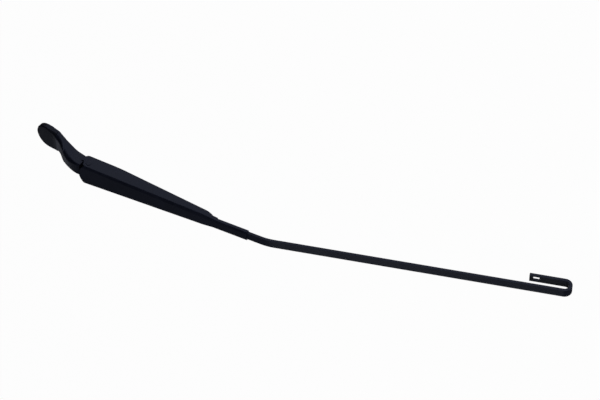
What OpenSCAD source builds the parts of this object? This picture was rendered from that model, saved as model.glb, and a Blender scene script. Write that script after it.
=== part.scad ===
// Wiper arm with a cast head, a pressed channel on a lifting hinge, a tension spring and a flat hooked rod.
// The origin is the centre of the nut seat, on the axis of the wiper spindle.
// +Z points away from the glass and +X runs along the arm towards the blade hook.

/* [Spindle end] */
// Radius of the round lobe over the spindle
lobe_r = 14.2; // [12:0.2:18]
// Height of the nut cap's flat top above the nut seat
cap_top = 5.4; // [5:0.1:8]
// Height of the parting face between cap and casting above the nut seat
parting_z = 1; // [0.6:0.1:2]
// Distance from the spindle axis to the straight end of the nut cap
cap_end_x = 13.8; // [12:0.2:18]
// Half width of the nut cap at its straight end
cap_end_half = 13; // [11:0.2:15]
// Wall of the nut cap
cap_wall = 1.3; // [1:0.1:2]
// Radius of the recess that the spindle nut turns in
nut_recess_r = 9.6; // [8.5:0.1:10]
// Radius of the straight bore for the threaded spindle end
bore_r = 4.1; // [3:0.1:5]
// Length of the straight bore
bore_len = 2.2; // [1.5:0.1:3]
// Radius of the tapered seat where it meets the straight bore
taper_small_r = 4.5; // [4.2:0.1:5.2]
// Radius of the tapered seat at its mouth
taper_big_r = 5.2; // [5:0.1:6.5]
// Radius of the hub under the lobe
hub_r = 8.2; // [7.6:0.1:9]
// Depth of the hub's end face under the nut seat
hub_depth = 4.8; // [4:0.1:7]

/* [Neck] */
// Distance from the spindle axis to the start of the rising curve
rise_x = 8.7; // [6:0.1:11]
// Radius of the hollow curve at the foot of the neck
foot_curve_r = 29.4; // [24:0.2:34]
// Steepest slope of the neck in degrees
rise_angle = 30; // [26:0.5:33]
// Distance from the spindle axis to the crest of the neck
crest_x = 49.5; // [46:0.5:52]
// Height of the crest above the nut seat
crest_z = 19; // [17:0.2:21]
// Radius of the rounded crest
crest_r = 34; // [30:0.5:38]
// Half width of the neck near the crest
neck_half = 8; // [7:0.1:8.8]
// Radius along the neck's long edges
neck_edge_r = 2.2; // [1.2:0.1:2.6]
// Wall left over the pocket under the neck
neck_wall = 3.4; // [2.4:0.1:4.5]

/* [Hinge] */
// Distance from the spindle axis to the hinge axis
hinge_x = 68.2; // [66:0.2:70]
// Height of the hinge axis above the nut seat
hinge_z = 12.4; // [11.4:0.1:13.4]
// Slope of the channel below the lobe's plane at rest in degrees
arm_drop = 13.1; // [8:0.5:18]
// Radius of the hinge pin
pin_r = 2.4; // [2:0.1:2.8]
// Radius of the bushes in the head
bush_r = 3.3; // [3:0.1:3.6]
// Radius of the bush flanges
bush_flange_r = 4.8; // [4.2:0.1:5]
// Thickness of the bush flanges
bush_flange_t = 1.4; // [1:0.1:1.5]
// Radius of the head's two barrels round the hinge
barrel_r = 5.2; // [4.8:0.1:5.4]
// Half width of the tongue over its two cheeks
tongue_half = 9.6; // [9:0.1:9.7]
// Half width of the slot between the cheeks
slot_half = 2; // [1.8:0.1:3]
// Distance of the spring's anchor pin from the hinge axis, back along the arm
anchor_back = 5; // [4.6:0.1:5.2]
// Distance of the spring's anchor pin from the hinge axis, towards the glass
anchor_down = 6; // [5.8:0.1:6.4]
// Radius of the anchor pin
anchor_r = 1.9; // [1.5:0.1:2.1]

/* [Channel] */
// Sheet thickness of the channel
sheet = 1.3; // [1:0.1:1.6]
// Height of the channel's outer face above the hinge axis
channel_top = 7; // [6.8:0.1:7.6]
// Half width of the channel over the hinge
channel_half = 12.9; // [12.7:0.05:14]
// Loss of half width for each millimetre of length
channel_taper = 0.0389; // [0.03:0.001:0.045]
// Outside radius of the long bends
channel_bend_r = 2.5; // [2:0.1:3]
// Radius of the rounded nose over the neck
nose_r = 16; // [14:0.5:20]
// Reach of the nose in front of the hinge axis
nose_reach = 8.6; // [8:0.1:8.8]
// Depth of the side walls below the hinge axis
wall_drop = 9.2; // [8.6:0.1:11]
// Length of the side walls' parallel part behind the hinge axis
wall_level_x = 31.5; // [20:0.5:50]
// Distance from the hinge axis to the curved tips of the side walls
wall_tip_x = 134.5; // [130:0.5:140]
// Height of the side walls' edge above the hinge axis where the tips start
wall_tip_z = -1.3; // [-3:0.1:0]
// Radius of the curved tips of the side walls
wall_tip_r = 20; // [15:0.5:25]
// Distance from the hinge axis to the start of the closed ferrule
ferrule_x = 142; // [138:0.5:144]
// Distance from the hinge axis to the end of the ferrule
ferrule_end_x = 185; // [175:1:200]
// Outside radius of the ferrule's corners
ferrule_r = 2; // [1.6:0.1:2.4]
// Width of the ferrule's folded seam on the glass side
seam_w = 0.5; // [0.3:0.1:1]

/* [Rod] */
// Width of the flat rod
rod_w = 9; // [8:0.5:10]
// Thickness of the flat rod
rod_t = 3; // [2.5:0.1:3.6]
// Distance from the hinge axis to the rod's inner end
rod_start_x = 113; // [112:0.5:118]
// Distance from the ferrule to the middle of the rod's bend
rod_bend_gap = 22; // [12:0.5:40]
// Angle of the rod's bend towards the glass in degrees
rod_bend = 13.9; // [5:0.1:20]
// Middle radius of the rod's bend
rod_bend_r = 58; // [40:1:80]
// Length of the straight rod between its bend and the hook
rod_len = 290.2; // [180:0.2:420]

/* [Hook] */
// Distance between the middles of the hook's two legs
hook_pitch = 12.86; // [11:0.02:15]
// Straight length of the hook's return leg
hook_leg = 35.5; // [28:0.5:45]
// Length of the window in the return leg
window_len = 6.2; // [4:0.1:8]
// Width of the window in the return leg
window_w = 5.2; // [3:0.1:5.6]
// Distance of the window from the tip
window_gap = 3.8; // [2.5:0.1:6]

/* [Spring] */
// Radius of the spring wire
wire_r = 1; // [0.8:0.05:1.05]
// Middle radius of the coil
coil_r = 3.9; // [3.2:0.1:4]
// Number of turns in the coil
coil_turns = 27; // [20:1:28]
// Distance from the anchor pin to the start of the coil
coil_start = 40.5; // [40.5:0.5:44]
// Length of the coil at rest
coil_len = 63; // [60:0.5:64]
// Distance from the anchor pin to the link's hole for the spring
link_len = 31; // [29:0.5:32]
// Thickness of the link plate
link_t = 3; // [2:0.1:3]
// Distance from the rod's inner end to its hole for the spring
spring_hole_gap = 5; // [4:0.1:7]

/* [Fits] */
// Radial clearance of pins that turn in their holes
running_clear = 0.05; // [0.02:0.01:0.09]
// Radial clearance of pins and bushes that are pressed in
press_clear = 0.02; // [0.01:0.01:0.05]
// Clearance of the channel over the head where it swings
swing_clear = 0.2; // [0.15:0.05:0.4]
// Clearance between the nut cap and the neck's shoulder
cap_clear = 0.12; // [0.08:0.02:0.3]

/* [Hidden] */

$fn = 48;
paint = "#1b1c21";
steel = "#5a5c60";
nylon = "#c9c6bb";
far = 300;
// Sides of the small balls and wire sections that round an edge
ball_fn = 12;

// Head
rise_dz = foot_curve_r * (1 - cos(rise_angle));
crest_start_x = crest_x - crest_r * sin(rise_angle);
crest_start_z = crest_z - crest_r * (1 - cos(rise_angle));
crest_end_x = crest_x + crest_r * sin(arm_drop);
crest_end_z = crest_z - crest_r * (1 - cos(arm_drop));
neck_end_x = hinge_x - nose_reach;
rim_front_z = 0.3;
rim_back_x = 15;
rim_back_z = -2;
belly_x = 23;
belly_z = 0.4;
belly_end_x = 46;
belly_end_z = 4;
arc_step = 5;

// Hinge and spring line, in the channel's own axes
channel_inner = channel_top - sheet;
web_top = -4;
relief_left = -14;
stop_len = 8.5;
stop_gap = 0.05;
anchor_lobe_r = 3.9;
rod_mid_z = channel_inner - rod_t / 2;
hole_x = rod_start_x + spring_hole_gap;
tail_z = rod_mid_z - rod_t / 2 - wire_r - swing_clear;
link_angle = atan2(tail_z + anchor_down, hole_x + anchor_back);
tail_len = norm([hole_x + anchor_back, tail_z + anchor_down]);

// Ferrule
ferrule_w = rod_w + 2 * sheet;
ferrule_h = rod_t + 2 * sheet;
taper_end_x = 150;

// Solid through a row of closed sections that have the same number of points
module skin(sections) {
    count = len(sections);
    sides = len(sections[0]);
    points = [for (ring = sections) each ring];
    walls = [for (i = [0 : count - 2]) for (k = [0 : sides - 1]) each
        [[i * sides + k, (i + 1) * sides + k, (i + 1) * sides + (k + 1) % sides],
         [i * sides + k, (i + 1) * sides + (k + 1) % sides, i * sides + (k + 1) % sides]]];
    first_cap = [[for (k = [0 : sides - 1]) k]];
    last_cap = [[for (k = [sides - 1 : -1 : 0]) (count - 1) * sides + k]];
    polyhedron(points = points, faces = concat(walls, first_cap, last_cap));
}

module side_extrude(half) {
    rotate([90, 0, 0])
        linear_extrude(2 * half, center = true)
            children();
}

// Places the channel's axes: origin on the hinge axis, X down the arm, Z out of its outer face
module arm_frame() {
    translate([hinge_x, 0, hinge_z])
        rotate([0, arm_drop, 0])
            children();
}

module arm_frame_2d() {
    translate([hinge_x, hinge_z])
        rotate(-arm_drop)
            children();
}

// Places the spring's axes: origin on the anchor pin, X along the line of pull
module spring_frame() {
    arm_frame()
        translate([-anchor_back, 0, -anchor_down])
            rotate([0, -link_angle, 0])
                children();
}

// A rod or wire that lies across the arm, through the point x, z of the frame it is called in
module cross_pin(r, half, x = 0, z = 0) {
    translate([x, 0, z])
        rotate([90, 0, 0])
            cylinder(r = r, h = 2 * half, center = true);
}

// The head's upper curve as seen from the side, from the spindle end to the foot of the hinge
neck_curve = concat(
    [for (a = [0 : arc_step : rise_angle])
        [rise_x + foot_curve_r * sin(a), cap_top + foot_curve_r * (1 - cos(a))]],
    [for (a = [rise_angle : -arc_step : -arm_drop])
        [crest_x - crest_r * sin(a), crest_z - crest_r * (1 - cos(a))]],
    [[neck_end_x + 2, crest_end_z - (neck_end_x + 2 - crest_end_x) * tan(arm_drop)]]
);

module neck_profile(drop = 0, depth = 30) {
    polygon(concat(
        [[-far, -depth], [-far, cap_top - drop]],
        [for (p = neck_curve) [p[0], p[1] - drop]],
        [[neck_end_x + 2, -depth]]
    ));
}

// Everything above the casting's lower edge, which dips under the spindle and rises to the hinge
module above_belly() {
    dip_r = 6;
    dip_x = rim_back_x - 1.5;
    back_slope = atan2(rim_front_z - rim_back_z, lobe_r + rim_back_x);
    rise_slope = atan2(belly_z - rim_back_z, belly_x - rim_back_x);
    polygon(concat(
        [[-lobe_r, rim_front_z]],
        [for (a = [-back_slope : 6 : rise_slope])
            [dip_x + dip_r * sin(a), rim_back_z + 0.3 + dip_r * (1 - cos(a))]],
        [[belly_x, belly_z], [belly_x + 4, belly_z + 1],
         [belly_end_x - 6, belly_end_z - 0.6], [belly_end_x, belly_end_z], [far, belly_end_z],
         [far, far], [-lobe_r, far]]
    ));
}

// Half width of the casting at the distance x from the spindle axis
function casting_half(x) =
    lookup(x, [[0, lobe_r], [8, lobe_r - 1], [17, 11.4], [24, 10.7], [32, 9.7], [42, neck_half + 0.2],
               [60, neck_half]]);

module lobe_plan() {
    circle(r = lobe_r, $fn = 64);
    front_x = cap_end_x + cap_clear;
    polygon([[0, lobe_r], [8, lobe_r - 1], [front_x, casting_half(front_x)],
             [front_x, -casting_half(front_x)], [8, 1 - lobe_r], [0, -lobe_r]]);
}

// One section of the neck: straight sides and rounded upper edges
function neck_section(x, z) = let (b = casting_half(x), r = neck_edge_r) concat(
    [[x, b, -12]],
    [for (a = [0 : 22.5 : 90]) [x, b - r + r * cos(a), z - r + r * sin(a)]],
    [for (a = [90 : 22.5 : 180]) [x, r - b + r * cos(a), z - r + r * sin(a)]],
    [[x, -b, -12]]
);

module neck_body() {
    front_x = cap_end_x + cap_clear;
    front_a = asin((front_x - rise_x) / foot_curve_r);
    stations = concat([[front_x, cap_top + foot_curve_r * (1 - cos(front_a))]],
                      [for (p = neck_curve) if (p[0] > front_x + 0.5) p]);
    skin([for (p = stations) neck_section(p[0], p[1])]);
}

module cap_plan() {
    circle(r = lobe_r, $fn = 64);
    polygon([[0, lobe_r], [cap_end_x + 6, cap_end_half - 0.4], [cap_end_x + 6, 0.4 - cap_end_half],
             [0, -lobe_r]]);
}

// The nut cap's outer form, with rounded upper edges
module rounded_cap() {
    minkowski() {
        intersection() {
            side_extrude(lobe_r + 2)
                offset(delta = -neck_edge_r)
                    neck_profile();
            translate([0, 0, -12])
                linear_extrude(50)
                    offset(delta = -neck_edge_r)
                        cap_plan();
        }
        sphere(r = neck_edge_r, $fn = ball_fn);
    }
}

// Distance from the hinge axis to the nose's upper edge, y away from the middle, with its clearance
function nose_sweep(y) =
    norm([nose_reach - nose_r + sqrt(nose_r * nose_r - y * y), channel_top]) + swing_clear;

// Space that the nose turns through
module nose_relief() {
    half = 12;
    arm_frame()
        intersection() {
            rotate([90, 0, 0])
                rotate_extrude()
                    polygon(concat([[0, -half]],
                                   [for (y = [-half : 2 : half]) [nose_sweep(y), y]],
                                   [[0, half]]));
            translate([-far, -far / 2, web_top])
                cube([2 * far, far, far]);
        }
}

// One outline for both cheeks: hinge barrel, stop pad, anchor lobe and the web that joins them to the neck
module cheek_profile() {
    arm_frame_2d() {
        circle(r = barrel_r);
        translate([-anchor_back, -anchor_down])
            circle(r = anchor_lobe_r);
        translate([0, -1.5])
            square([stop_len, channel_inner - stop_gap + 1.5]);
        polygon([[relief_left, web_top], [-7.6, web_top], [-4.4, -0.8], [0, 0.5], [stop_len - 0.5, -1],
                 [4, -5.5], [-3, -anchor_down - 3], [-6.6, -anchor_down - 3],
                 [relief_left, -anchor_down - 5.5]]);
    }
}

module tongue() {
    intersection() {
        side_extrude(tongue_half)
            cheek_profile();
        translate([0, 0, -far / 2])
            linear_extrude(far)
                polygon([for (side = [1, -1]) each
                    side > 0
                        ? [[40, neck_half - 0.6], [54, neck_half - 0.6], [59, tongue_half], [far, tongue_half]]
                        : [[far, -tongue_half], [59, -tongue_half], [54, 0.6 - neck_half],
                           [40, 0.6 - neck_half]]]);
    }
}

// Pocket under the neck, divided by cross ribs
module neck_pocket() {
    rib_w = 2;
    pocket_x = [19.5, 31.5, 43.5, 52];
    for (i = [0 : len(pocket_x) - 2])
        intersection() {
            side_extrude(neck_half)
                intersection() {
                    neck_profile(drop = neck_wall);
                    translate([pocket_x[i] + rib_w / 2, -far / 2])
                        square([pocket_x[i + 1] - pocket_x[i] - rib_w, far]);
                }
            translate([0, 0, -far / 2])
                linear_extrude(far)
                    polygon([[10, 8], [30, 7], [42, neck_half - 2.6], [far, neck_half - 2.6],
                             [far, 2.6 - neck_half], [42, 2.6 - neck_half], [30, -7], [10, -8]]);
        }
}

module head() color(paint) {
    difference() {
        union() {
            difference() {
                intersection() {
                    union() {
                        neck_body();
                        translate([0, 0, -12])
                            linear_extrude(12 + parting_z)
                                lobe_plan();
                    }
                    side_extrude(lobe_r + 1)
                        above_belly();
                }
                nose_relief();
                neck_pocket();
            }
            translate([0, 0, -hub_depth])
                cylinder(r = hub_r, h = hub_depth + parting_z);
            tongue();
        }
        cylinder(r = nut_recess_r, h = far);
        translate([0, 0, -bore_len - 1])
            cylinder(r = bore_r, h = bore_len + 2);
        translate([0, 0, -hub_depth])
            cylinder(r1 = taper_big_r, r2 = taper_small_r, h = hub_depth - bore_len);
        arm_frame() {
            cross_pin(bush_r + press_clear, far);
            cross_pin(anchor_r + press_clear, far, -anchor_back, -anchor_down);
            translate([0.6 - anchor_back - anchor_lobe_r - 1.6, -slot_half, -far / 2])
                cube([far, 2 * slot_half, far]);
        }
    }
}

module nut_cap() color(paint) {
    ring_wall = 1;
    ring_r = nut_recess_r - cap_clear;
    difference() {
        intersection() {
            rounded_cap();
            translate([-far, -far / 2, parting_z])
                cube([far + cap_end_x, far, far]);
        }
        intersection() {
            side_extrude(lobe_r)
                neck_profile(drop = cap_wall);
            translate([0, 0, -1])
                linear_extrude(far)
                    intersection() {
                        offset(delta = -cap_wall)
                            cap_plan();
                        translate([-far, -far / 2])
                            square([far + cap_end_x - cap_wall, far]);
                    }
        }
    }
    // Ring that snaps into the nut recess
    difference() {
        translate([0, 0, cap_clear])
            cylinder(r = ring_r, h = cap_top - cap_wall + 0.2 - cap_clear);
        cylinder(r = ring_r - ring_wall, h = far, center = true);
    }
}

module hinge_bush(side) {
    arm_frame()
        mirror([0, side < 0 ? 1 : 0, 0])
            rotate([-90, 0, 0])
                difference() {
                    union() {
                        translate([0, 0, slot_half])
                            cylinder(r = bush_r, h = tongue_half - slot_half);
                        translate([0, 0, tongue_half])
                            cylinder(r = bush_flange_r, h = bush_flange_t);
                    }
                    cylinder(r = pin_r + running_clear, h = far);
                }
}

module hinge_bush_left() color(nylon) hinge_bush(1);

module hinge_bush_right() color(nylon) hinge_bush(-1);

module anchor_pin() color(steel) {
    arm_frame()
        cross_pin(anchor_r, tongue_half - 0.4, -anchor_back, -anchor_down);
}

// Riveted pin with a low spun head on each side wall
module hinge_pin() color(paint) {
    head_r = pin_r + 0.6;
    head_t = 0.3;
    seat_y = channel_half + head_r * channel_taper;
    arm_frame() {
        cross_pin(pin_r, seat_y + head_t / 2);
        for (side = [1, -1])
            rotate([side * -90, 0, 0])
                translate([0, 0, seat_y])
                    cylinder(r1 = head_r, r2 = head_r - head_t, h = head_t);
    }
}

// Flat link, bowed round the hinge pin so that the spring can pull past the hinge axis
module spring_link() color(steel) {
    pin_gap = norm([anchor_back, anchor_down]);
    bow_clear = pin_r + 0.45;
    bow_wall = 2.5;
    bar_half = 2.6;
    sweep_top = 75;
    eye_r = 3.1;
    eye_slot = 0.5;
    spring_frame()
        side_extrude(link_t / 2)
            difference() {
                union() {
                    circle(r = anchor_lobe_r);
                    translate([pin_gap, 0])
                        circle(r = bow_clear + bow_wall);
                    translate([pin_gap, -bar_half])
                        square([link_len - pin_gap, 2 * bar_half]);
                    translate([link_len, 0])
                        circle(r = eye_r);
                }
                circle(r = anchor_r + running_clear);
                translate([pin_gap, 0])
                    circle(r = bow_clear);
                intersection() {
                    difference() {
                        circle(r = pin_gap + bow_clear);
                        circle(r = pin_gap - bow_clear);
                    }
                    polygon([[0, 0], [far, 0], [far * cos(sweep_top), far * sin(sweep_top)]]);
                }
                for (x = [0, eye_slot])
                    translate([link_len + x, 0])
                        circle(r = wire_r + 0.3);
                translate([link_len, -wire_r - 0.3])
                    square([eye_slot, 2 * wire_r + 0.6]);
            }
}

function unit(v) = v / norm(v);
function tangents(p) = [for (i = [0 : len(p) - 1])
    unit(p[min(i + 1, len(p) - 1)] - p[max(i - 1, 0)])];
function square_to(n, t) = unit(n - (n * t) * t);
function normals(t, first) = [for (i = 0, n = square_to(first, t[0]);
    i < len(t);
    i = i + 1, n = i < len(t) ? square_to(n, t[i]) : n) n];

// Round wire of radius r swept along the points p
module wire(p, r, sides) {
    t = tangents(p);
    n = normals(t, [0, 0, 1]);
    skin([for (i = [0 : len(p) - 1])
        [for (k = [0 : sides - 1])
            p[i] + r * (cos(360 * k / sides) * n[i] + sin(360 * k / sides) * cross(t[i], n[i]))]]);
}

// The spring's centre line, in its own axes: end loop, coil, tail and the finger in the rod's hole
loop_r = 3.2;
coil_steps = 10;
tail_bend_r = 2.2;
loop_path = [for (a = [75 : 15 : 255])
    [link_len + loop_r + loop_r * cos(a), loop_r * sin(a), 0]];
lead_in = [for (k = [0 : 3])
    let (a = -90 + 22 * k, r = loop_r + (coil_r - loop_r) * (k + 1) / 4)
    [link_len + loop_r + 1.4 * (k + 1), r * sin(a), -r * cos(a)]];
coil_path = [for (k = [0 : coil_steps * coil_turns])
    let (a = 360 * k / coil_steps)
    [coil_start + coil_len * k / (coil_steps * coil_turns), coil_r * sin(a), -coil_r * cos(a)]];
lead_out = [for (k = [1 : 5])
    let (a = 40 * k, r = coil_r * (1 - k / 5))
    [coil_start + coil_len + 1.6 * k, r * sin(a), -r * cos(a)]];
tail_path = concat(
    [[tail_len - tail_bend_r - 2, 0, 0]],
    [for (a = [0 : 22.5 : 90])
        [tail_len - tail_bend_r + tail_bend_r * sin(a), 0, tail_bend_r * (1 - cos(a))]],
    [[tail_len, 0, rod_t + 0.4]]
);

module tension_spring() color(steel) {
    spring_frame()
        wire(concat(loop_path, lead_in, coil_path, lead_out, tail_path), wire_r, 6);
}

function half_at(x) = channel_half - channel_taper * x;

// Section across the channel's core: flat top, round shoulders and straight sides
function core_section(x, half, inset) =
    let (b = half - inset, r = channel_bend_r - inset, z = channel_top - inset)
    concat(
        [[x, b, -20]],
        [for (a = [0 : 15 : 90]) [x, b - r + r * cos(a), z - r + r * sin(a)]],
        [for (a = [90 : 15 : 180]) [x, r - b + r * cos(a), z - r + r * sin(a)]],
        [[x, -b, -20]]
    );

// Solid under the channel's bent skin, as wide as the walls less inset
module channel_core(inset) {
    skin([core_section(-20, half_at(-20), inset),
          core_section(wall_tip_x, half_at(wall_tip_x), inset),
          core_section(taper_end_x, ferrule_w / 2, inset)]);
}

// Side view of the walls: slanted front, round lower corner, long taper and curved tips
module wall_profile() {
    front_low_x = -7.5;
    corner_r = 4;
    tip_end = acos(1 - (channel_top - ferrule_h - wall_tip_z) / wall_tip_r);
    wall_curve_r = 300;
    wall_slope = atan2(wall_tip_z + wall_drop, wall_tip_x - wall_level_x);
    polygon(concat(
        [[-3.1, channel_top]],
        [for (a = [180 : 15 : 270])
            [front_low_x + corner_r + corner_r * cos(a), -wall_drop + corner_r + corner_r * sin(a)]],
        [for (k = [0 : 4])
            let (a = wall_slope * k / 4)
            [wall_level_x - wall_curve_r * (wall_slope / 2 - a) * PI / 180,
             -wall_drop + wall_curve_r * (1 - cos(a))]],
        [for (k = [0 : 6])
            let (a = tip_end * k / 6)
            [wall_tip_x + wall_tip_r * sin(a), wall_tip_z + wall_tip_r * (1 - cos(a))]],
        [[taper_end_x, channel_top - ferrule_h], [taper_end_x, channel_top]]
    ));
}

module nose_plan() {
    translate([nose_r - nose_reach, 0])
        circle(r = nose_r, $fn = 96);
    translate([nose_r - nose_reach, -far / 2])
        square([far, far]);
}

// A rectangle w by h with true round corners, centred
module round_rect(w, h, r) {
    square([w - 2 * r, h], center = true);
    square([w, h - 2 * r], center = true);
    for (x = [1, -1], y = [1, -1])
        translate([x * (w / 2 - r), y * (h / 2 - r)])
            circle(r = r, $fn = 32);
}

module along_arm(x, length, z) {
    translate([x, 0, z])
        rotate([0, 90, 0])
            linear_extrude(length)
                children();
}

module channel() color(paint) {
    shoulder_z = channel_top - channel_bend_r;
    arm_frame()
        difference() {
            union() {
                intersection() {
                    difference() {
                        channel_core(0);
                        channel_core(sheet);
                    }
                    union() {
                        intersection() {
                            side_extrude(far)
                                wall_profile();
                            translate([-far, -far, -far])
                                cube([2 * far, 2 * far, far + shoulder_z]);
                        }
                        translate([0, 0, shoulder_z])
                            linear_extrude(far)
                                intersection() {
                                    nose_plan();
                                    translate([-far, -far / 2])
                                        square([far + taper_end_x, far]);
                                }
                    }
                }
                along_arm(ferrule_x, ferrule_end_x - ferrule_x, rod_mid_z)
                    round_rect(ferrule_h, ferrule_w, ferrule_r);
            }
            along_arm(ferrule_x - 1, far, rod_mid_z)
                square([rod_t + 2 * press_clear, rod_w + 2 * press_clear], center = true);
            translate([wall_tip_x, -seam_w / 2, rod_mid_z - ferrule_h])
                cube([far, seam_w, ferrule_h]);
            cross_pin(pin_r + press_clear, far);
        }
}

// Points on a bend towards the glass from angle a0 to a1, for a bar whose middle line starts at the origin
function bend_points(c, r, a0, a1, step) = let (n = ceil((a1 - a0) / step))
    [for (k = [0 : n]) let (a = a0 + (a1 - a0) * k / n) c + r * [sin(a), cos(a)]];

// Side view of the rod in the arm's axes: straight end, bend, long bar, hook and return leg
function rod_side(offset_r) =
    let (bend_tangent = rod_bend_r * tan(rod_bend / 2),
         bend_x = ferrule_end_x + rod_bend_gap - bend_tangent,
         c1 = [bend_x, rod_mid_z - rod_bend_r],
         along = [cos(rod_bend), -sin(rod_bend)],
         across = [sin(rod_bend), cos(rod_bend)],
         hook_start = c1 + rod_bend_r * across + rod_len * along,
         hook_r = hook_pitch / 2,
         c2 = hook_start - hook_r * across)
    concat([[rod_start_x, rod_mid_z + offset_r]],
           bend_points(c1, rod_bend_r + offset_r, 0, rod_bend, 2),
           bend_points(c2, hook_r + offset_r, rod_bend, 180 + rod_bend, 6),
           [c2 - (hook_r + offset_r) * across - hook_leg * along]);

function backwards(p) = [for (i = [len(p) - 1 : -1 : 0]) p[i]];

// Carries its children to the tip of the hook's return leg, X pointing back along the leg
module at_hook_tip() {
    tip = rod_side(0)[len(rod_side(0)) - 1];
    translate([tip[0], 0, tip[1]])
        rotate([0, rod_bend, 0])
            children();
}

module rod() color(paint) {
    arm_frame()
        difference() {
            side_extrude(rod_w / 2)
                polygon(concat(rod_side(rod_t / 2), backwards(rod_side(-rod_t / 2))));
            at_hook_tip()
                translate([window_gap, -window_w / 2, -rod_t])
                    cube([window_len, window_w, 2 * rod_t]);
            translate([hole_x, 0, rod_mid_z])
                cylinder(r = wire_r + 0.6, h = 4 * rod_t, center = true);
        }
}

head();
nut_cap();
hinge_bush_left();
hinge_bush_right();
anchor_pin();
hinge_pin();
spring_link();
tension_spring();
channel();
rod();
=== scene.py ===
import math

import bmesh
import bpy
from mathutils import Matrix, Vector


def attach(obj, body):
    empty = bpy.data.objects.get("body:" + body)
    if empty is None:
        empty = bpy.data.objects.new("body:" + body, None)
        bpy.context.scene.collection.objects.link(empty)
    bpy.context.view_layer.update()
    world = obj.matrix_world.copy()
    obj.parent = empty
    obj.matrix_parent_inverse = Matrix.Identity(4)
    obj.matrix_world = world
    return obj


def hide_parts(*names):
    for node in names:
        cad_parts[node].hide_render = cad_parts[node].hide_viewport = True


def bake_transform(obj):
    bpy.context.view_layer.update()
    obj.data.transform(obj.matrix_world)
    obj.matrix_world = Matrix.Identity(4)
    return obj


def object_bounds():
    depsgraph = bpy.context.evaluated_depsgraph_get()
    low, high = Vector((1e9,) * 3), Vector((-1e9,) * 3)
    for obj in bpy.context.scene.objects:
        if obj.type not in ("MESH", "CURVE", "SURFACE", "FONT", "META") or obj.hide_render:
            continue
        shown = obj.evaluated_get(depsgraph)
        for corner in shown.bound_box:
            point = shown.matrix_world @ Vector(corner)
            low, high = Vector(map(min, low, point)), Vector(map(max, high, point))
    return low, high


bl_info = {
    "name": "Hinged wiper arm",
    "version": (1, 0, 0),
    "blender": (4, 5, 0),
    "location": "3D View > Sidebar > Wiper arm",
    "description": "Builds the finished pieces of a hinged wiper arm around its packed frame",
    "category": "Object",
}

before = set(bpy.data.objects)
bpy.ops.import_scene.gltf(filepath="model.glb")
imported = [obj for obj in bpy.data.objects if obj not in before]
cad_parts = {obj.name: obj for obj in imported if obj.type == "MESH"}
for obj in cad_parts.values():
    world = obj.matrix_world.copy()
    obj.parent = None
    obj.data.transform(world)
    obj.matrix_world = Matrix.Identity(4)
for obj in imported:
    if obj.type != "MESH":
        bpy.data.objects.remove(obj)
CAD_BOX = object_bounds()
MM = 0.001

# Places that part.scad fixes, in millimetres
HINGE = (68.2, 12.4)
ARM_DROP = math.radians(13.1)
FOOT = (8.7, 5.4)
FOOT_R = 29.4
RISE = math.radians(30.0)
CREST = (49.5, 19.0)
CREST_R = 34.0
# Pairs of distance from the spindle and half width
NECK_WIDTHS = ((0.0, 14.2), (8.0, 13.2), (17.0, 11.4), (24.0, 10.7), (32.0, 9.7), (42.0, 8.2), (60.0, 8.0))
CAP_WIDTHS = ((0.0, 14.2), (19.8, 12.6))
# Radius and height at the mouth and at the small end of the tapered seat
TAPER = ((5.19, -4.76), (4.53, -2.3))
ANCHOR = (-5.0, -6.0)
SPRING_LINE = math.atan2(1.45 + 6.0, 118.0 + 5.0)
TAIL_LEN = math.hypot(118.0 + 5.0, 1.45 + 6.0)

# Camera, in metres
CAMERA_PLACE = (1.36828, 1.87761, 1.17675)
CAMERA_BACK = (0.4394, 0.7438, 0.5037)
CAMERA_RIGHT = (0.7636, -0.0139, -0.6456)

# Painted shade in reflections: the level of light that gloss rays find where the floor isn't painted pale
# for them
SHADED_REFLECTION_LEVEL = 0.06
FLOOR_GAP = 0.004
COOL = (0.9, 0.93, 1.08)
# Name, place, target, size, power and tint of each lamp
LAMPS = (
    ("key", (2.3, 0.9, 2.0), (0.2, 0.1, -0.15), (3.2, 3.2), 52.0, (1.0, 1.0, 1.0)),
    ("rod_side", (0.9, -1.75, 1.5), (0.35, 0.0, -0.08), (0.9, 0.7), 2.1, (1.0, 1.0, 1.0)),
    ("back_wall", (-1.1, -2.3, 0.95), (0.1, 0.0, 0.0), (4.4, 2.2), 3.8, COOL),
    ("low_panel", (-1.5, -1.75, 0.25), (0.03, 0.0, 0.0), (1.6, 0.7), 1.1, COOL),
)


def arm_point(x, y, z):
    """A point of the channel's own axes, in the frame's metres."""
    c, s = math.cos(ARM_DROP), math.sin(ARM_DROP)
    return Vector((HINGE[0] + x * c + z * s, y, HINGE[1] - x * s + z * c)) * MM


def spring_point(x, y, z):
    """A point of the spring's own axes, which start on the anchor pin."""
    c, s = math.cos(SPRING_LINE), math.sin(SPRING_LINE)
    return arm_point(ANCHOR[0] + x * c - z * s, y, ANCHOR[1] + x * s + z * c)


# Materials


class Sock:
    """Wraps a socket, so that sums and products on it add Math nodes."""

    def __init__(self, tree, out):
        self.tree, self.out = tree, out

    def _math(self, operation, a, b):
        n = self.tree.node("ShaderNodeMath", {"operation": operation}, {0: a, 1: b})
        return Sock(self.tree, n.outputs[0])

    def __add__(self, other):
        return self._math("ADD", self, other)

    def __radd__(self, other):
        return self._math("ADD", other, self)

    def __sub__(self, other):
        return self._math("SUBTRACT", self, other)

    def __rsub__(self, other):
        return self._math("SUBTRACT", other, self)

    def __mul__(self, other):
        return self._math("MULTIPLY", self, other)

    def __rmul__(self, other):
        return self._math("MULTIPLY", other, self)

    def over(self, low, high):
        """0 under low, 1 over high, smooth between."""
        n = self.tree.node(
            "ShaderNodeMapRange",
            {"interpolation_type": "SMOOTHSTEP", "clamp": True},
            {"Value": self, "From Min": low, "From Max": high},
        )
        return Sock(self.tree, n.outputs[0])


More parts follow.
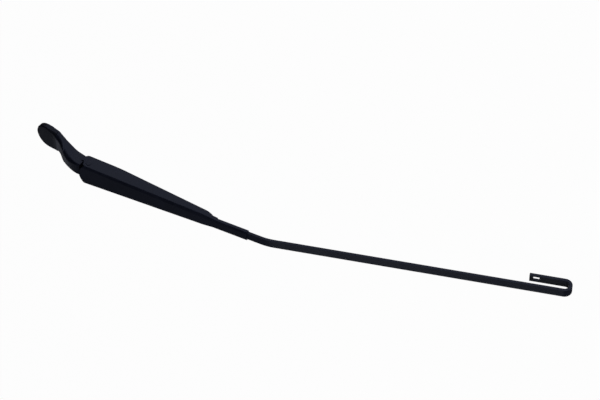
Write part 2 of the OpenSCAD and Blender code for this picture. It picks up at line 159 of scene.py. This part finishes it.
class Shader:
    """A material's nodes, each made by one method."""

    def __init__(self, name):
        self.material = bpy.data.materials.new(name)
        self.material.use_nodes = True
        self.nodes = self.material.node_tree.nodes
        self.links = self.material.node_tree.links
        self.nodes.clear()
        self.place = Sock(self, self.node("ShaderNodeTexCoord").outputs["Object"])

    def node(self, kind, settings=None, inputs=None):
        n = self.nodes.new(kind)
        for key, value in (settings or {}).items():
            setattr(n, key, value)
        for key, value in (inputs or {}).items():
            if isinstance(value, Sock):
                self.links.new(value.out, n.inputs[key])
            else:
                n.inputs[key].default_value = value
        return n

    def noise(self, scale, detail=3.0, rough=0.55, stretch=None):
        place = self.place
        if stretch:
            mapping = self.node("ShaderNodeMapping", None, {"Vector": place, "Scale": stretch})
            place = Sock(self, mapping.outputs[0])
        n = self.node(
            "ShaderNodeTexNoise", None,
            {"Vector": place, "Scale": scale, "Detail": detail, "Roughness": rough},
        )
        return Sock(self, n.outputs["Fac"])

    def mix(self, mask, a, b):
        n = self.node("ShaderNodeMix", {"data_type": "RGBA"}, {0: mask, 6: (*a, 1.0), 7: (*b, 1.0)})
        return Sock(self, n.outputs[2])

    def bump(self, height, strength, distance):
        n = self.node(
            "ShaderNodeBump", None, {"Height": height, "Strength": strength, "Distance": distance}
        )
        return Sock(self, n.outputs[0])

    def principled(self, **sockets):
        names = {key.replace("_", " ").title(): value for key, value in sockets.items()}
        names = {key.replace("Ior", "IOR"): value for key, value in names.items()}
        shader = self.node("ShaderNodeBsdfPrincipled", None, names)
        out = self.node("ShaderNodeOutputMaterial")
        self.links.new(shader.outputs[0], out.inputs[0])
        return self.material


def paint_material(name, finish, orange_peel, cast_grain):
    """Black semi-gloss coat with orange peel, faint cloudiness and dust."""
    s = Shader(name)
    cloud = s.noise(55.0, 4.0).over(0.35, 0.7)
    dust = s.noise(900.0, 2.0, 0.6).over(0.69, 0.76) * s.noise(30.0).over(0.45, 0.75)
    colour = s.mix(cloud, tuple(finish.paint_colour), tuple(c * 1.3 for c in finish.paint_colour))
    peel = s.noise(420.0, 2.0, 0.4)
    grain = s.noise(2600.0, 3.0, 0.7)
    height = peel * orange_peel + grain * cast_grain + dust * 0.4
    return s.principled(
        base_color=colour,
        roughness=finish.paint_roughness + 0.07 * cloud + 0.2 * dust,
        specular_ior_level=finish.paint_gloss,
        specular_tint=(*finish.paint_sheen, 1.0),
        normal=s.bump(height, 0.35, 0.00006),
    )


def plastic_material(name, finish):
    """Fine spark-eroded grain of a black moulded cap."""
    s = Shader(name)
    grain = s.noise(3800.0, 2.0, 0.6)
    cloud = s.noise(70.0, 3.0).over(0.35, 0.7)
    colour = s.mix(cloud, tuple(finish.cap_colour), tuple(c * 1.25 for c in finish.cap_colour))
    return s.principled(
        base_color=colour,
        roughness=finish.cap_roughness + 0.06 * cloud + 0.05 * grain,
        specular_ior_level=finish.paint_gloss,
        specular_tint=(*finish.paint_sheen, 1.0),
        normal=s.bump(grain, 0.3, 0.00005),
    )


def nylon_material(name, finish):
    s = Shader(name)
    cloud = s.noise(400.0, 3.0).over(0.3, 0.7)
    colour = s.mix(cloud, tuple(finish.bush_colour), tuple(c * 0.86 for c in finish.bush_colour))
    return s.principled(
        base_color=colour, roughness=0.42 + 0.08 * cloud,
        normal=s.bump(s.noise(1500.0), 0.2, 0.00003),
    )


def steel_material(name, colour, roughness, stretch):
    """Dull plated steel with drawing marks along stretch and a little oil."""
    s = Shader(name)
    marks = s.noise(900.0, 3.0, 0.65, stretch)
    stain = s.noise(120.0, 4.0).over(0.42, 0.68)
    tone = s.mix(stain, tuple(colour), tuple(c * 0.62 for c in colour))
    return s.principled(
        base_color=tone, metallic=1.0,
        roughness=roughness + 0.12 * marks - 0.1 * stain,
        normal=s.bump(marks, 0.25, 0.00003),
    )


def finishes():
    """All finishes of the arm, made once."""
    if "arm_paint" not in bpy.data.materials:
        f = bpy.context.scene.arm_finish
        paint_material("arm_paint", f, 0.6, 0.05)
        paint_material("cast_paint", f, 0.5, 0.3)
        plastic_material("cap_grain", f)
        nylon_material("natural_nylon", f)
        steel_material("zinc_steel", f.zinc_colour, 0.34, (1.0, 0.1, 1.0))
        steel_material("spring_wire", f.wire_colour, 0.3, (1.0, 1.0, 1.0))
    return bpy.data.materials


# Helpers for the pieces


def new_object(name, bm):
    mesh = bpy.data.meshes.new(name)
    bm.to_mesh(mesh)
    bm.free()
    mesh.shade_smooth()
    obj = bpy.data.objects.new(name, mesh)
    bpy.context.scene.collection.objects.link(obj)
    return obj


def dress(obj, material, body, slot, *nodes):
    """Gives a piece its finish and its place on a body of the frame."""
    obj.data.materials.clear()
    obj.data.materials.append(finishes()[material])
    if body:
        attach(obj, body)
    if nodes:
        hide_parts(*nodes)


def round_edges(obj, width, segments=2, angle=32.0):
    bevel = obj.modifiers.new("edge_radius", "BEVEL")
    bevel.width = width * MM
    bevel.segments = segments
    bevel.limit_method = "ANGLE"
    bevel.angle_limit = math.radians(angle)
    bevel.use_clamp_overlap = True
    bevel.harden_normals = False
    normals = obj.modifiers.new("even_shading", "WEIGHTED_NORMAL")
    normals.weight = 80
    normals.keep_sharp = False


def merged_copy(node, name):
    """The CAD node's form with its doubles merged and its flat faces joined."""
    bm = bmesh.new()
    bm.from_mesh(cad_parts[node].data)
    bmesh.ops.remove_doubles(bm, verts=bm.verts, dist=2e-6)
    bmesh.ops.dissolve_limit(
        bm, angle_limit=math.radians(0.8), use_dissolve_boundaries=False,
        verts=bm.verts, edges=bm.edges,
    )
    return new_object(name, bm)


def softened(node, name, material, body, slot, width, segments=2):
    obj = merged_copy(node, name)
    round_edges(obj, width, segments)
    dress(obj, material, body, slot, node)
    return obj


def swept_wire(name, points, radius, sides=12):
    curve = bpy.data.curves.new(name, "CURVE")
    curve.dimensions = "3D"
    curve.bevel_depth = radius * MM
    curve.bevel_resolution = sides // 4
    curve.use_fill_caps = True
    spline = curve.splines.new("POLY")
    spline.points.add(len(points) - 1)
    for target, p in zip(spline.points, points):
        target.co = (*p, 1.0)
    spline.use_smooth = True
    source = bpy.data.objects.new(name + "_line", curve)
    bpy.context.scene.collection.objects.link(source)
    bpy.context.view_layer.update()
    mesh = bpy.data.meshes.new_from_object(
        source.evaluated_get(bpy.context.evaluated_depsgraph_get())
    )
    bpy.data.objects.remove(source)
    mesh.name = name
    mesh.shade_smooth()
    obj = bpy.data.objects.new(name, mesh)
    bpy.context.scene.collection.objects.link(obj)
    return obj


# Settings shown in the panel


class ArmFinish(bpy.types.PropertyGroup):
    paint_colour: bpy.props.FloatVectorProperty(
        name="Paint", description="Colour of the black coat on the metal", subtype="COLOR",
        size=3, default=(0.0060, 0.0072, 0.0140), min=0.0, max=1.0)
    paint_roughness: bpy.props.FloatProperty(
        name="Paint roughness", description="Roughness of the black coat", default=0.36,
        min=0.05, max=1.0, subtype="FACTOR")
    paint_gloss: bpy.props.FloatProperty(
        name="Gloss", description="Strength of the black finishes' gloss", default=0.216,
        min=0.0, max=1.0, subtype="FACTOR")
    paint_sheen: bpy.props.FloatVectorProperty(
        name="Sheen", description="Tint of the black finishes' gloss", subtype="COLOR",
        size=3, default=(0.72, 0.8, 1.0), min=0.0, max=1.0)
    cap_colour: bpy.props.FloatVectorProperty(
        name="Cap", description="Colour of the nut cap", subtype="COLOR",
        size=3, default=(0.0052, 0.0056, 0.0090), min=0.0, max=1.0)
    cap_roughness: bpy.props.FloatProperty(
        name="Cap roughness", description="Roughness of the nut cap", default=0.42,
        min=0.05, max=1.0, subtype="FACTOR")
    bush_colour: bpy.props.FloatVectorProperty(
        name="Bushes", description="Colour of the hinge bushes", subtype="COLOR",
        size=3, default=(0.55, 0.53, 0.45), min=0.0, max=1.0)
    zinc_colour: bpy.props.FloatVectorProperty(
        name="Link and pins", description="Colour of the plated link and pins", subtype="COLOR",
        size=3, default=(0.36, 0.36, 0.37), min=0.0, max=1.0)
    wire_colour: bpy.props.FloatVectorProperty(
        name="Spring wire", description="Colour of the spring wire", subtype="COLOR",
        size=3, default=(0.16, 0.16, 0.17), min=0.0, max=1.0)


class SpringSizes(bpy.types.PropertyGroup):
    wire_r: bpy.props.FloatProperty(
        name="Wire radius", description="Radius of the spring wire in mm", default=1.0, min=0.5, max=1.4)
    coil_r: bpy.props.FloatProperty(
        name="Coil radius", description="Middle radius of the coil in mm", default=3.9, min=3.0, max=4.0)
    turns: bpy.props.IntProperty(
        name="Turns", description="Number of turns in the coil", default=28, min=10, max=31)


class StageSettings(bpy.types.PropertyGroup):
    floor_colour: bpy.props.FloatVectorProperty(
        name="Floor", description="Colour of the plain floor", subtype="COLOR",
        size=3, default=(0.88, 0.88, 0.9), min=0.0, max=1.0)
    world_level: bpy.props.FloatProperty(
        name="Room light", description="Level of the even light in the room", default=0.01,
        min=0.0, max=2.0)
    lens_mm: bpy.props.FloatProperty(
        name="Lens", description="Focal length of the camera in mm", default=150.0, min=20.0, max=400.0)


# The pieces


def eased(x, x0, x1):
    """0 at x0, 1 at x1, smooth between."""
    t = min(max((x - x0) / (x1 - x0), 0.0), 1.0)
    return t * t * (3.0 - 2.0 * t)


def neck_top(x):
    """Height of the neck's upper curve at the distance x from the spindle, in mm."""
    if x < FOOT[0]:
        return FOOT[1]
    if x < CREST[0] - CREST_R * math.sin(RISE):
        return FOOT[1] + FOOT_R * (1.0 - math.cos(math.asin((x - FOOT[0]) / FOOT_R)))
    if x < CREST[0] + CREST_R * math.sin(ARM_DROP):
        return CREST[1] - CREST_R * (1.0 - math.cos(math.asin((CREST[0] - x) / CREST_R)))
    end = CREST[0] + CREST_R * math.sin(ARM_DROP)
    return CREST[1] - CREST_R * (1.0 - math.cos(ARM_DROP)) - (x - end) * math.tan(ARM_DROP)


def half_width(widths, x):
    """Half width at the distance x, between the pairs of distance and half width, in mm."""
    for (x0, b0), (x1, b1) in zip(widths, widths[1:]):
        if x <= x1:
            return b0 + (b1 - b0) * (x - x0) / (x1 - x0)
    return widths[-1][1]


def edge_radius(x):
    """The long upper edge grows rounder up the rise and sharper again under the channel."""
    return 2.2 + 2.4 * eased(x, 2.0, 21.0) - 2.2 * eased(x, 42.0, 57.0)


def edge_cutter(side, first, last, widths):
    """Solid that takes a long upper edge down to its full radius."""
    proud, reach, steps = 0.02, 4.0, 10
    bm = bmesh.new()
    before = None
    count = round(last - first)
    for k in range(count + 1):
        x = first + (last - first) * k / count
        top, half, radius = neck_top(x) + proud, half_width(widths, x) + proud, edge_radius(x)
        arc = [math.radians(90.0 * i / steps) for i in range(steps + 1)]
        curve = [(half - radius * (1.0 - math.cos(a)), top - radius * (1.0 - math.sin(a))) for a in arc]
        outline = [(half + reach, top - radius), *curve,
                   (half - radius, top + reach), (half + reach, top + reach)]
        ring = [bm.verts.new(Vector((x, side * y, z)) * MM) for y, z in outline]
        loop = [bm.edges.new((a, b)) for a, b in zip(ring, ring[1:] + ring[:1])]
        if before:
            bmesh.ops.bridge_loops(bm, edges=before + loop)
        before = loop
    bmesh.ops.holes_fill(bm, edges=bm.edges, sides=0)
    bmesh.ops.recalc_face_normals(bm, faces=bm.faces)
    return new_object("edge_cutter", bm)


def cut_with(obj, cutter):
    """Takes the cutter's form out of a piece and leaves plain mesh."""
    cut = obj.modifiers.new("cut", "BOOLEAN")
    cut.operation = "DIFFERENCE"
    cut.solver = "EXACT"
    cut.object = cutter
    bpy.context.view_layer.update()
    mesh = bpy.data.meshes.new_from_object(obj.evaluated_get(bpy.context.evaluated_depsgraph_get()))
    obj.modifiers.remove(cut)
    obj.data = mesh
    bpy.data.objects.remove(cutter)


class WIPER_OT_head(bpy.types.Operator):
    """Cast head with its neck, hinge cheeks and spindle seat"""
    bl_idname = "wiper.head"
    bl_label = "Cast head"

    def execute(self, context):
        head = merged_copy("head", "head_casting")
        for side in (1.0, -1.0):
            cut_with(head, edge_cutter(side, 13.0, 60.0, NECK_WIDTHS))
        round_edges(head, 0.25, 3)
        dress(head, "cast_paint", "head", "painted_casting", "head")
        self.serrations()
        return {"FINISHED"}

    def serrations(self):
        """Fine ridges down the tapered seat, which grip the spindle."""
        count, proud, root = 36, 0.14, 0.25
        bm = bmesh.new()
        for k in range(count):
            turn = 2.0 * math.pi * k / count
            rings = []
            for radius, z in TAPER:
                half = 0.8 * math.pi * (radius + root) / count
                section = [(radius + root, -half), (radius + root, half), (radius - proud, 0.0)]
                rings.append([bm.verts.new(Matrix.Rotation(turn, 3, "Z") @ Vector((x, y, z)) * MM)
                              for x, y in section])
            low, high = rings
            bm.faces.new(low[::-1])
            bm.faces.new(high)
            for i in range(3):
                j = (i + 1) % 3
                bm.faces.new((low[i], low[j], high[j], high[i]))
        bmesh.ops.recalc_face_normals(bm, faces=bm.faces)
        ridges = new_object("taper_serrations", bm)
        ridges.data.shade_flat()
        dress(ridges, "cast_paint", "head", "painted_casting")


class WIPER_OT_cap(bpy.types.Operator):
    """Plastic cap over the spindle nut"""
    bl_idname = "wiper.cap"
    bl_label = "Nut cap"

    def execute(self, context):
        cap = merged_copy("nut_cap", "nut_cap_shell")
        for side in (1.0, -1.0):
            cut_with(cap, edge_cutter(side, 1.0, 15.0, CAP_WIDTHS))
        round_edges(cap, 0.2)
        dress(cap, "cap_grain", "head", "cap_plastic", "nut_cap")
        return {"FINISHED"}


class WIPER_OT_hinge(bpy.types.Operator):
    """Hinge pin, its two flanged bushes and the spring's anchor pin"""
    bl_idname = "wiper.hinge"
    bl_label = "Hinge"

    def execute(self, context):
        softened("hinge_pin", "hinge_rivet", "arm_paint", "arm", "painted_steel", 0.2)
        softened("hinge_bush_left", "bush_left", "natural_nylon", "head", "bush_nylon", 0.15)
        softened("hinge_bush_right", "bush_right", "natural_nylon", "head", "bush_nylon", 0.15)
        softened("anchor_pin", "anchor_rod", "zinc_steel", "head", "pin_steel", 0.25)
        return {"FINISHED"}


class WIPER_OT_spring(bpy.types.Operator):
    """Tension spring with its end hooks, and the bowed link that holds it"""
    bl_idname = "wiper.spring"
    bl_label = "Spring and link"

    def execute(self, context):
        softened("spring_link", "bowed_link", "zinc_steel", "link", "pin_steel", 0.25)
        sizes = context.scene.arm_spring
        coil_start, coil_len, link_len, loop_r = 40.5, 63.0, 31.0, 3.2
        line = []
        for k in range(41):
            a = math.radians(70 + 190 * k / 40)
            line.append((link_len + loop_r + loop_r * math.cos(a), loop_r * math.sin(a), 0.0))
        per_turn = 26
        steps = per_turn * sizes.turns
        lead = 10
        for k in range(1, lead + 1):
            t = k / lead
            a = math.radians(-80 + 80 * t)
            r = loop_r + (sizes.coil_r - loop_r) * t
            x = link_len + loop_r + (coil_start - link_len - loop_r) * t
            line.append((x, r * math.sin(a), -r * math.cos(a)))
        for k in range(1, steps + 1):
            a = 2 * math.pi * k / per_turn
            line.append((coil_start + coil_len * k / steps,
                         sizes.coil_r * math.sin(a), -sizes.coil_r * math.cos(a)))
        for k in range(1, 16):
            t = k / 15
            a = math.radians(200 * t)
            r = sizes.coil_r * (1 - t) ** 1.2
            line.append((coil_start + coil_len + 8.0 * t, r * math.sin(a), -r * math.cos(a)))
        bend = 2.2
        line.append((TAIL_LEN - bend - 1.0, 0.0, 0.0))
        for k in range(9):
            a = math.radians(90 * k / 8)
            line.append((TAIL_LEN - bend + bend * math.sin(a), 0.0, bend * (1 - math.cos(a))))
        line.append((TAIL_LEN, 0.0, 3.4))
        spring = swept_wire("coil_spring", [spring_point(*p) for p in line], sizes.wire_r)
        dress(spring, "spring_wire", None, "spring_steel", "tension_spring")
        tuple(spring_point(coil_start, 0, 0))
        tuple(spring_point(coil_start + coil_len, 0, 0))
        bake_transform(spring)
        return {"FINISHED"}


class WIPER_OT_channel(bpy.types.Operator):
    """Pressed channel with its round nose and closed ferrule"""
    bl_idname = "wiper.channel"
    bl_label = "Channel"

    def execute(self, context):
        softened("channel", "pressed_channel", "arm_paint", "arm", "painted_steel", 0.2)
        return {"FINISHED"}


class WIPER_OT_rod(bpy.types.Operator):
    """Flat rod with its bend, blade hook and window"""
    bl_idname = "wiper.rod"
    bl_label = "Flat rod"

    def execute(self, context):
        softened("rod", "flat_rod", "arm_paint", "arm", "painted_steel", 0.45, 3)
        return {"FINISHED"}


class WIPER_OT_stage(bpy.types.Operator):
    """Camera, floor, lamps and room light"""
    bl_idname = "wiper.stage"
    bl_label = "Stage"

    def execute(self, context):
        context.scene.view_settings.view_transform = "Standard"
        self.camera(context)
        self.floor(context)
        self.lamps(context)
        self.room(context)
        return {"FINISHED"}

    def camera(self, context):
        data = bpy.data.cameras.new("view")
        data.lens = context.scene.arm_stage.lens_mm
        data.sensor_width = 36.0
        data.clip_end = 50.0
        cam = bpy.data.objects.new("view", data)
        back = Vector(CAMERA_BACK).normalized()
        right = Vector(CAMERA_RIGHT)
        right = (right - back * right.dot(back)).normalized()
        up = back.cross(right)
        turn = Matrix((right, up, back)).transposed()
        cam.matrix_world = Matrix.Translation(Vector(CAMERA_PLACE)) @ turn.to_4x4()
        context.scene.collection.objects.link(cam)
        context.scene.camera = cam

    def floor(self, context):
        bm = bmesh.new()
        bmesh.ops.create_grid(bm, x_segments=1, y_segments=1, size=9.0)
        lowest = CAD_BOX[0][2] - FLOOR_GAP
        bmesh.ops.translate(bm, verts=bm.verts, vec=(0.0, 0.0, lowest))
        floor = new_object("floor", bm)
        s = Shader("floor_pale")
        grain = s.noise(6.0, 3.0).over(0.3, 0.7)
        pale = tuple(context.scene.arm_stage.floor_colour)
        colour = s.mix(grain, pale, tuple(c * 0.99 for c in pale))
        matte = s.node("ShaderNodeBsdfPrincipled", None, {"Base Color": colour, "Roughness": 0.9})
        split = s.node("ShaderNodeSeparateXYZ", None, {0: s.place})
        x, y = Sock(s, split.outputs[0]), Sock(s, split.outputs[1])
        # Painted reflections: gloss rays find the floor pale only here and dim elsewhere, so the arm's
        # sides and edges show painted bright and dark reflections. The regions are fitted to this arm and
        # camera
        painted_reflection_front = (y + 0.9 * x).over(-0.15, 0.08)
        painted_reflection_near_back = y.over(-0.9, -0.35) * x.over(-0.25, -0.05)
        # Painted shadow: the floor is dim for gloss rays under the hook's end, where the rod's shadow
        # would fall, so the bend reflects shade
        painted_shadow_under_hook = x.over(0.525, 0.545) * (1.0 - y.over(-0.01, 0.005))
        painted_reflection_mask = (1.0 - (1.0 - painted_reflection_front) * (1.0 - painted_reflection_near_back)) * (1.0 - painted_shadow_under_hook)
        path = s.node("ShaderNodeLightPath")
        seen = Sock(s, path.outputs["Is Camera Ray"])
        mirrored = Sock(s, path.outputs["Is Glossy Ray"])
        soft = Sock(s, path.outputs["Is Diffuse Ray"])
        # For gloss rays the floor's bluish glow carries the painted reflections through these masks; for
        # diffuse rays it glows evenly
        white = s.node("ShaderNodeEmission", None, {
            "Color": s.mix(seen, (0.96, 0.98, 1.12), (1.0, 1.0, 1.0)),
            "Strength": seen + soft + mirrored * (SHADED_REFLECTION_LEVEL + (1.0 - SHADED_REFLECTION_LEVEL) * painted_reflection_mask)})
        both = s.node("ShaderNodeMixShader", None, {0: seen * 0.975 + soft * 0.7 + mirrored})
        s.links.new(matte.outputs[0], both.inputs[1])
        s.links.new(white.outputs[0], both.inputs[2])
        # From below, the floor lets the camera see the underside
        under = Sock(s, s.node("ShaderNodeNewGeometry").outputs["Backfacing"])
        clear = s.node("ShaderNodeBsdfTransparent")
        shown = s.node("ShaderNodeMixShader", None, {0: under * seen})
        s.links.new(both.outputs[0], shown.inputs[1])
        s.links.new(clear.outputs[0], shown.inputs[2])
        out = s.node("ShaderNodeOutputMaterial")
        s.links.new(shown.outputs[0], out.inputs[0])
        floor.data.materials.append(s.material)

    def lamps(self, context):
        for name, place, target, size, power, tint in LAMPS:
            data = bpy.data.lights.new(name, "AREA")
            data.shape = "RECTANGLE"
            data.size, data.size_y = size
            data.energy = power
            data.color = tint
            obj = bpy.data.objects.new(name, data)
            aim = (Vector(target) - Vector(place)).to_track_quat("-Z", "Y")
            obj.matrix_world = Matrix.Translation(Vector(place)) @ aim.to_matrix().to_4x4()
            context.scene.collection.objects.link(obj)

    def room(self, context):
        world = bpy.data.worlds.new("room")
        context.scene.world = world
        world.use_nodes = True
        nodes, links = world.node_tree.nodes, world.node_tree.links
        nodes.clear()
        even = nodes.new("ShaderNodeBackground")
        even.inputs[0].default_value = (0.92, 0.95, 1.0, 1.0)
        even.inputs[1].default_value = context.scene.arm_stage.world_level
        white = nodes.new("ShaderNodeBackground")
        white.inputs[0].default_value = (1.0, 1.0, 1.0, 1.0)
        seen = nodes.new("ShaderNodeLightPath")
        both = nodes.new("ShaderNodeMixShader")
        out = nodes.new("ShaderNodeOutputWorld")
        links.new(seen.outputs["Is Camera Ray"], both.inputs[0])
        links.new(even.outputs[0], both.inputs[1])
        links.new(white.outputs[0], both.inputs[2])
        links.new(both.outputs[0], out.inputs[0])


OPERATORS = (WIPER_OT_stage, WIPER_OT_head, WIPER_OT_cap, WIPER_OT_hinge, WIPER_OT_spring,
             WIPER_OT_channel, WIPER_OT_rod)


class WIPER_PT_panel(bpy.types.Panel):
    """Lists the pieces and settings of the arm"""
    bl_idname = "WIPER_PT_panel"
    bl_label = "Wiper arm"
    bl_space_type = "VIEW_3D"
    bl_region_type = "UI"
    bl_category = "Wiper arm"

    def draw(self, context):
        for group in ("arm_finish", "arm_spring", "arm_stage"):
            box = self.layout.box()
            settings = getattr(context.scene, group)
            for key in settings.bl_rna.properties.keys():
                if key not in ("rna_type", "name"):
                    box.prop(settings, key)
        for op in OPERATORS:
            self.layout.operator(op.bl_idname)


GROUPS = {"arm_finish": ArmFinish, "arm_spring": SpringSizes, "arm_stage": StageSettings}


def register():
    for name, group in GROUPS.items():
        bpy.utils.register_class(group)
        setattr(bpy.types.Scene, name, bpy.props.PointerProperty(type=group))
    for item in (*OPERATORS, WIPER_PT_panel):
        bpy.utils.register_class(item)


def unregister():
    for item in (WIPER_PT_panel, *reversed(OPERATORS)):
        bpy.utils.unregister_class(item)
    for name, group in GROUPS.items():
        delattr(bpy.types.Scene, name)
        bpy.utils.unregister_class(group)


def main():
    register()
    for op in OPERATORS:
        area, name = op.bl_idname.split(".")
        getattr(getattr(bpy.ops, area), name)()


if __name__ == "__main__":
    main()
